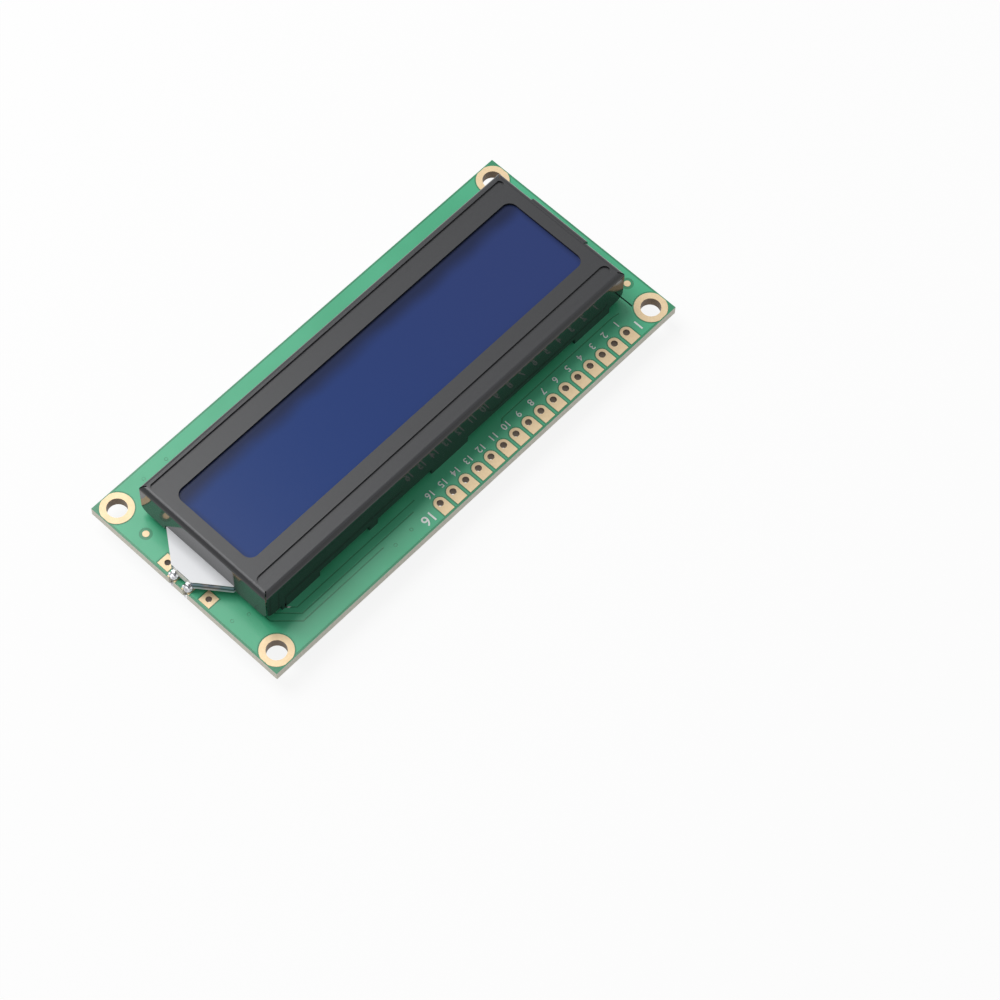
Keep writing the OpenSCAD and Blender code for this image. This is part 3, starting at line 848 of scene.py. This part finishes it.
@dataclass(frozen=True)
class BackFace:
    """The board's back: traces from the header to the chips, vias, and component frames."""

    face: Face
    header: HeaderRow = HeaderRow()
    controller: Point = (12.7, -0.4)
    driver: Point = (-13.3, 0.5)
    trace: float = 0.2
    pitch: float = 0.45
    row_y: float = -12.4

    def routes_from_header(self) -> list[Route]:
        """Traces from the header pads towards the two chips."""
        pads = [-x for x in self.header.xs()]
        start = 14.4
        routes = []
        for i, x in enumerate(pads[6:12]):
            goal = self.controller[0] + (2.5 - i) * 1.1
            routes.append(dogleg((x, start), (goal, 6.2), 12.9))
        for x, low, run in ((pads[5], 5.6, 1.7), (pads[4], 6.0, 2.94), (pads[3], 6.2, 4.78)):
            routes.append([(x, start), (x, low), (x - run, low - run)])
        routes.append(dogleg((pads[15], start), (-8.2, 4.4), 12.2))
        routes.append(dogleg((pads[14], start), (-7.1, 4.0), 13.6))
        return routes

    def routes_fine(self) -> list[Route]:
        """Close parallel traces between the chips and left of the driver."""
        over = bundle([(-8.9, 5.2), (0.6, 5.2), (3.4, 2.4), (6.3, 2.4)], 6, self.pitch)
        under = bundle([(-8.2, -5.6), (-5.2, -5.6), (-1.2, -1.6), (5.9, -1.6)], 8, self.pitch)
        round_driver = [(-16.9, 6.9), (-21.2, 6.9), (-23.0, 5.1), (-23.0, -3.2), (-20.9, -5.3)]
        beside = bundle(round_driver, 7, self.pitch)
        lower = bundle([(2.4, -9.6), (5.0, -7.0), (8.4, -7.0)], 4, self.pitch)
        upper = bundle([(-15.2, 9.3), (-6.0, 9.3), (-4.6, 7.9), (2.0, 7.9), (4.6, 5.3)], 4, self.pitch)
        return over + under + beside + lower + upper

    def edge_of(self, chip: Point, radius: float, degrees: float) -> Point:
        """A point at the rim of a chip's resin cap."""
        a = math.radians(degrees)
        return (chip[0] + radius * math.cos(a), chip[1] + radius * math.sin(a))

    def routes_to_rows(self) -> list[Route]:
        """Traces from the chips down to the rows of vias along the far edge."""
        groups = (
            (self.controller, 6.7, -62, -33, 17.2, 1.26, 6, -6.5),
            (self.controller, 6.7, -136, -110, 5.7, 1.27, 4, -7.7),
            (self.driver, 5.7, -98, -22, -13.3, 1.27, 7, -6.2),
            (self.driver, 5.7, -146, -126, -23.4, 1.2, 3, -5.2),
        )
        routes = []
        for chip, radius, first, last, row_x, pitch, count, bend in groups:
            for i in range(count):
                start = self.edge_of(chip, radius, first + (last - first) * i / (count - 1))
                routes.append(dogleg(start, (row_x + i * pitch, self.row_y), bend))
        return routes

    def routes_round_chips(self) -> list[Route]:
        """Fans of short traces that end in staggered vias round each chip."""
        fans = (
            (self.driver, 5.8, 9, 28, 88),
            (self.driver, 5.8, 7, 160, 208),
            (self.driver, 5.8, 6, 236, 258),
            (self.controller, 6.8, 12, -28, 26),
            (self.controller, 6.8, 6, 118, 150),
            (self.controller, 6.8, 7, 205, 234),
        )
        routes = []
        for chip, radius, count, first, last in fans:
            for i in range(count):
                degrees = first + (last - first) * i / (count - 1)
                reach = radius + (1.2, 2.1, 3.0)[i % 3]
                routes.append([self.edge_of(chip, radius, degrees), self.edge_of(chip, reach, degrees)])
        return routes

    def routes_round_edge(self) -> list[Route]:
        """Long traces that follow the board's edge with cut-off corners."""
        far = bundle([(-26.8, -14.9), (31.6, -14.9), (34.4, -12.1), (34.4, 8.2)], 3, 0.8)
        near = bundle([(-36.4, 5.6), (-36.4, 12.4), (-34.2, 14.6), (-10.6, 14.6)], 2, 0.8)
        left = bundle([(-24.9, -12.9), (-25.7, -12.1), (-25.7, -8.6)], 2, 0.6)
        return far + near + left

    def print_frames(self, legend: Legend) -> None:
        """Print the frames, rings and polarity signs of the components."""
        bank = [box(28.35, 33.4, -7.7 + 2.37 * i, -7.7 + 2.37 * (i + 1)) for i in range(6)]
        pair = [box(19.8, 24.9, -7.5, -5.05), box(19.8, 24.9, -5.05, -2.55)]
        others = [box(-23.2, -16.9, 11.3, 14.2), box(-32.8, -26.5, -4.2, -1.2), box(-32.8, -26.5, -7.7, -4.7)]
        legend.outline(bank + pair + others)
        chip = [(-30.9, 4.46), (-30.9, -0.87), (-28.05, -0.87), (-28.05, 4.46)]
        notch = arc((-29.47, 4.46), 0.75, 0, -180)
        legend.outline([chip + notch])
        legend.outline([ring((x, 5.8), 1.35) for x in (-32.0, -29.5, -27.1)], width=0.18)
        legend.outline([ring((self.controller[0] - 0.15, self.controller[1] - 0.1), 7.0, 64)], width=0.4)
        legend.outline([ring((self.driver[0] - 0.1, self.driver[1] - 0.15), 5.95, 64)], width=0.3)
        for x, y in ((-25.05, -2.9), (-25.05, -6.4), (-38.7, 6.35)):
            legend.word("+", x, y, 1.5)
        legend.word("-", -38.3, -6.7, 1.5)

    def print_numbers(self, legend: Legend) -> None:
        """Print a plain number at each component."""
        for i in range(6):
            legend.word(str(6 - i), 26.9, -6.5 + 2.37 * i, 1.3)
        spots = ((7, 20.9, -1.6), (8, 20.9, -8.85), (9, -25.2, 13.8), (10, -34.6, 5.8), (11, -29.5, 8.0),
                 (12, -24.7, 5.8), (13, -24.6, 0.1), (14, -34.4, -2.7), (15, -34.4, -6.2), (16, -17.2, -5.7),
                 (17, 8.0, -7.1))
        for number, x, y in spots:
            legend.word(str(number), x, y, 1.35)
        legend.word("1", 34.1, 16.3, 1.7)
        legend.word(str(self.header.count), -8.9, 16.7, 1.7)

    def build(self, mask: bpy.types.Material, dark: bpy.types.Material, ink: bpy.types.Material) -> None:
        """Make the back's copper, vias, frames and numbers."""
        copper = Copper(self.face)
        copper.traces(self.routes_from_header(), 0.26)
        copper.traces(self.routes_fine(), self.trace)
        copper.traces(self.routes_to_rows() + self.routes_round_chips(), self.trace, vias=True)
        copper.traces(self.routes_round_edge(), 0.32, vias=True)
        copper.vias += [(4.5 + 1.3 * i, 12.9 - 1.3 * (i % 2)) for i in range(3)]
        copper.finish("back_copper", mask, dark)
        legend = Legend(self.face)
        self.print_frames(legend)
        self.print_numbers(legend)
        legend.finish("back_legend", ink)


@dataclass(frozen=True)
class Chip:
    """One chip resistor and the number on its glaze."""

    node: str
    number: str
    cap: float = 0.45

    def build(self, ink: bpy.types.Material) -> Piece:
        """Dress the resistor and print its number.

        Args:
            ink: not used; the numbers take their material after they are joined.

        Returns:
            The number, as a mesh.
        """
        low, high = (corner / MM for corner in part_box(self.node))
        middle = (low + high) / 2
        glaze = (high.x - low.x) / 2 - self.cap
        dress(self.node, ChipFinish(self.node + "_glaze", middle.x, glaze).material())
        size = 0.34 * (high.y - low.y)
        legend = Legend(Face(Side.BACK, (low.z + 0.03) * MM), thickness=0.03)
        legend.word(self.number, -middle.x, middle.y, size)
        return legend.marks[0]


@dataclass(frozen=True)
class SolderLumps:
    """The uneven lumps that hold the backlight's leads at the board's edge."""

    seed: int = 7
    half_width: float = 0.75
    overlap: float = 0.1
    beads: tuple[tuple[float, float, float], ...] = (
        (-0.55, 0.3, 0.35), (0.35, -0.45, 0.3), (-0.1, 0.55, 0.28),
    )

    def lump(self, low: Vector, high: Vector, seed: int) -> Piece:
        """One lump that fills a box with an uneven, blobby form.

        Args:
            low: the box's lowest corner, in metres.
            high: the box's highest corner.
            seed: which of the random forms it takes.

        Returns:
            The lump's mesh.
        """
        deselect()
        bpy.ops.mesh.primitive_ico_sphere_add(subdivisions=3, radius=0.42)
        piece = bpy.context.object
        bpy.ops.object.mode_set(mode="EDIT")
        bpy.ops.mesh.select_all(action="SELECT")
        bpy.ops.transform.vertex_random(offset=0.07, uniform=0.4, normal=0.6, seed=seed)
        bpy.ops.mesh.vertices_smooth(factor=0.5, repeat=1)
        bpy.ops.object.mode_set(mode="OBJECT")
        rounding = piece.modifiers.new("rounding", "SUBSURF")
        rounding.levels = 1
        rounding.render_levels = 1
        bpy.ops.object.modifier_apply(modifier=rounding.name)
        reach = [max(abs(v.co[axis]) for v in piece.data.vertices) for axis in range(3)]
        span = high - low
        scale = Matrix.Diagonal((*(span[axis] / 2 / reach[axis] for axis in range(3)), 1))
        piece.data.transform(Matrix.Translation((low + high) / 2) @ scale)
        smooth(piece, 80)
        return piece

    def build(self, tin: bpy.types.Material) -> None:
        """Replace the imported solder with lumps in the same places."""
        lumps = []
        low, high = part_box("led_solder")
        board_low, board_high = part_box("circuit_board")
        for i, lead in enumerate(("led_lead_a", "led_lead_b")):
            lead_low, lead_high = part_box(lead)
            middle = (lead_low.y + lead_high.y) / 2
            half = self.half_width * MM
            reach_low = Vector((low.x, middle - half, low.z))
            reach_high = Vector((high.x, middle + half, high.z))
            top_low = Vector((low.x, middle - half, board_high.z - self.overlap * MM))
            under_high = Vector((high.x, middle + half, board_low.z + self.overlap * MM))
            lumps.append(self.lump(top_low, reach_high, self.seed + i))
            lumps.append(self.lump(reach_low, under_high, self.seed + 5 + i))
            for k, (dx, dy, size) in enumerate(self.beads):
                centre = Vector(((low.x + high.x) / 2 + dx * MM, middle + dy * MM,
                                 board_high.z + (0.3 + 0.25 * k) * MM))
                centre.x = min(centre.x, high.x - size * MM)
                edge = Vector((size, size, size)) * MM
                lumps.append(self.lump(centre - edge, centre + edge, self.seed + 11 * (i + 1) + k))
        piece = join(lumps, "edge_solder_lumps")
        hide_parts("led_solder")
        hand_over(piece, tin)


@dataclass(frozen=True)
class Trim:
    """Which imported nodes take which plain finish."""

    gold: tuple[str, ...] = (
        "mounting_rings", "header_pads", "display_contacts", "bezel_tab_lands", "backlight_terminals",
        "backlight_pin_eyelets", "led_lands", "fiducial_marks", "resistor_lands", "jumper_lands",
        "spare_chip_lands", "spare_capacitor_lands",
    )
    films: tuple[str, ...] = ("diffuser_film", "reflector_film", "lug_top_film", "lug_under_film")
    glass: tuple[str, ...] = ("front_glass", "rear_glass")

    def build(self) -> None:
        """Dress every node that has a plain finish."""
        gold = Plating().material()
        film = Plastic("white_film", (0.80, 0.81, 0.83), 0.32, mottle=0.03, patch=4, depth=0.002).material()
        glass = Plastic("cell_glass", (0.30, 0.42, 0.40), 0.08, mottle=0.05).material()
        silicon = Plastic("ground_silicon", (0.20, 0.20, 0.23), 0.3).material()
        singles = {
            "cell_seal": Plastic("seal_resin", (0.55, 0.54, 0.48), 0.5).material(),
            "liquid_crystal": Plastic("crystal_layer", (0.05, 0.07, 0.16), 0.3).material(),
            "rear_polarizer": Plastic("grey_polarizer", (0.10, 0.11, 0.13), 0.25).material(),
            "backlight_led": Plastic("led_body", (0.75, 0.74, 0.66), 0.4).material(),
            "controller_die": silicon,
            "driver_die": silicon,
            "controller_cap": CuredResin().material(),
            "driver_cap": CuredResin("charcoal_resin_small").material(),
            "resistor_solder": Tin("chip_solder", 0.5, 0.03).material(),
            "jumper_solder": Tin("jumper_solder", 0.5, 0.05).material(),
            "led_lead_a": Tin("lead_tin", 0.3, 0.05).material(),
            "led_lead_b": Tin("lead_tin_b", 0.3, 0.05).material(),
            "led_solder": Tin("edge_solder", 0.35, 0.08).material(),
        }
        rubber = StripedRubber().material()
        groups = ((self.gold, gold), (self.films, film), (self.glass, glass),
                  (("header_side_zebra_strip", "far_side_zebra_strip"), rubber))
        for names, material in groups:
            for name in names:
                dress(name, material)
        for name, material in singles.items():
            dress(name, material)


# ---- studio --------------------------------------------------------------------------


@dataclass(frozen=True)
class Studio:
    """Plain floor, soft lights and the camera."""

    aim: Vector = Vector((0.0, 0.02136, 0.004))
    azimuth: float = 130.70
    elevation: float = 62.04
    roll: float = 3.00
    distance: float = 0.45446
    lens: float = 118.73
    sensor: float = 36.0
    floor_size: float = 3.0
    ambient: float = 0.36
    key_level: float = 0.68
    key_distance: float = 0.9
    key_size: float = 0.6
    key_azimuth: float = 8.0
    key_elevation: float = 57.0

    def camera(self) -> None:
        """Create the camera and make it the scene's own."""
        a, e, r = (math.radians(v) for v in (self.azimuth, self.elevation, self.roll))
        back = Vector((math.sin(a) * math.cos(e), -math.cos(a) * math.cos(e), math.sin(e)))
        level = (-back).cross(Vector((0, 0, 1))).normalized()
        upright = level.cross(-back)
        right = math.cos(r) * level + math.sin(r) * upright
        up = right.cross(-back)
        turn = Matrix((right, up, back)).transposed().to_4x4()
        data = bpy.data.cameras.new("camera")
        data.lens = self.lens
        data.sensor_width = self.sensor
        data.clip_start = 0.01
        camera = bpy.data.objects.new("camera", data)
        camera.matrix_world = Matrix.Translation(self.aim + self.distance * back) @ turn
        bpy.context.scene.collection.objects.link(camera)
        bpy.context.scene.camera = camera

    def seen_share(self, tree: bpy.types.NodeTree) -> Socket:
        """1 for rays that see the background directly, in gloss or through glass."""
        path = tree.nodes.new("ShaderNodeLightPath")
        names = ("Is Camera Ray", "Is Glossy Ray", "Is Transmission Ray")
        total: Optional[Socket] = None
        for name in names:
            if total is None:
                total = path.outputs[name]
                continue
            most = tree.nodes.new("ShaderNodeMath")
            most.operation = "MAXIMUM"
            tree.links.new(total, most.inputs[0])
            tree.links.new(path.outputs[name], most.inputs[1])
            total = most.outputs[0]
        return total

    def world(self) -> None:
        """Light from all round, seen as white."""
        world = bpy.data.worlds.new("studio")
        bpy.context.scene.world = world
        world.use_nodes = True
        tree = world.node_tree
        light = tree.nodes["Background"]
        light.inputs["Color"].default_value = (1, 1, 1, 1)
        strength = tree.nodes.new("ShaderNodeMapRange")
        strength.inputs["To Min"].default_value = self.ambient
        strength.inputs["To Max"].default_value = 1.0
        tree.links.new(self.seen_share(tree), strength.inputs["Value"])
        tree.links.new(strength.outputs[0], light.inputs["Strength"])

    def floor(self) -> None:
        """A white floor that keeps a faint shadow."""
        deselect()
        bpy.ops.mesh.primitive_plane_add(size=self.floor_size, location=(0, 0, 0))
        floor = bpy.context.object
        floor.name = "floor"
        material = bpy.data.materials.new("studio_floor")
        material.use_nodes = True
        tree = material.node_tree
        shader = tree.nodes["Principled BSDF"]
        shader.inputs["Base Color"].default_value = (0.9, 0.9, 0.9, 1)
        shader.inputs["Roughness"].default_value = 0.9
        shader.inputs["Specular IOR Level"].default_value = 0.0
        white = tree.nodes.new("ShaderNodeEmission")
        mixed = tree.nodes.new("ShaderNodeMixShader")
        share = tree.nodes.new("ShaderNodeMath")
        share.operation = "MULTIPLY"
        share.inputs[1].default_value = 0.88
        tree.links.new(self.seen_share(tree), share.inputs[0])
        tree.links.new(share.outputs[0], mixed.inputs[0])
        tree.links.new(shader.outputs[0], mixed.inputs[1])
        tree.links.new(white.outputs[0], mixed.inputs[2])
        tree.links.new(mixed.outputs[0], tree.nodes["Material Output"].inputs["Surface"])
        floor.data.materials.append(material)

    def key(self) -> None:
        """One large soft light from the far long side."""
        a, e = math.radians(self.key_azimuth), math.radians(self.key_elevation)
        towards = Vector((math.sin(a) * math.cos(e), -math.cos(a) * math.cos(e), math.sin(e)))
        data = bpy.data.lights.new("key", "AREA")
        data.shape = "SQUARE"
        data.size = self.key_size
        data.energy = self.key_level * (math.pi * self.key_distance) ** 2 / math.sin(e)
        light = bpy.data.objects.new("key", data)
        turn = towards.to_track_quat("Z", "Y").to_matrix().to_4x4()
        light.matrix_world = Matrix.Translation(self.key_distance * towards) @ turn
        bpy.context.scene.collection.objects.link(light)

    def build(self) -> None:
        """Set up the studio."""
        self.camera()
        self.world()
        self.floor()
        self.key()
        bpy.context.scene.view_settings.view_transform = "Standard"


def main() -> None:
    """Dress the module, add its fine relief and set up the studio."""
    logging.basicConfig(level=logging.INFO, format="%(name)s: %(message)s")
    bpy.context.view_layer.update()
    Studio().build()
    board_low, board_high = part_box("circuit_board")
    half = (board_high.x / MM, board_high.y / MM)
    base = SolderMask("green_mask_on_laminate", (0.020, 0.225, 0.105), (0.030, 0.265, 0.130)).material()
    over_copper = SolderMask("green_mask_on_copper", (0.050, 0.400, 0.205), (0.062, 0.440, 0.235)).material()
    dimple = SolderMask("green_mask_on_via", (0.020, 0.20, 0.10), (0.045, 0.34, 0.18), patch=0.5).material()
    ink = Plastic("legend_ink", (0.86, 0.88, 0.86), 0.55, mottle=0.06, patch=0.4).material()
    Trim().build()
    dress("circuit_board", base)
    dress("bezel", BlackSheet().material())
    window = [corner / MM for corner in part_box("front_polarizer")]
    dress("front_polarizer", LitWindow(*window).material())
    lug_low, lug_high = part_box("lug_under_film")[1].z / MM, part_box("lug_top_film")[0].z / MM
    dress("light_guide", LayeredAcrylic(lug_low, lug_high).material())
    FrontFace(Face(Side.FRONT, board_high.z), half).build(over_copper, dimple, ink)
    BackFace(Face(Side.BACK, board_low.z)).build(over_copper, dimple, ink)
    chip_ink = Plastic("chip_ink", (0.75, 0.75, 0.72), 0.5).material()
    numbers = [Chip(f"resistor_{i}", "103").build(chip_ink) for i in range(1, 8)]
    numbers.append(Chip("resistor_8", "100").build(chip_ink))
    hand_over(join(numbers, "chip_numbers"), chip_ink)
    SolderLumps().build(Tin("lumpy_solder", 0.4, 0.06).material())


if __name__ == "__main__":
    main()
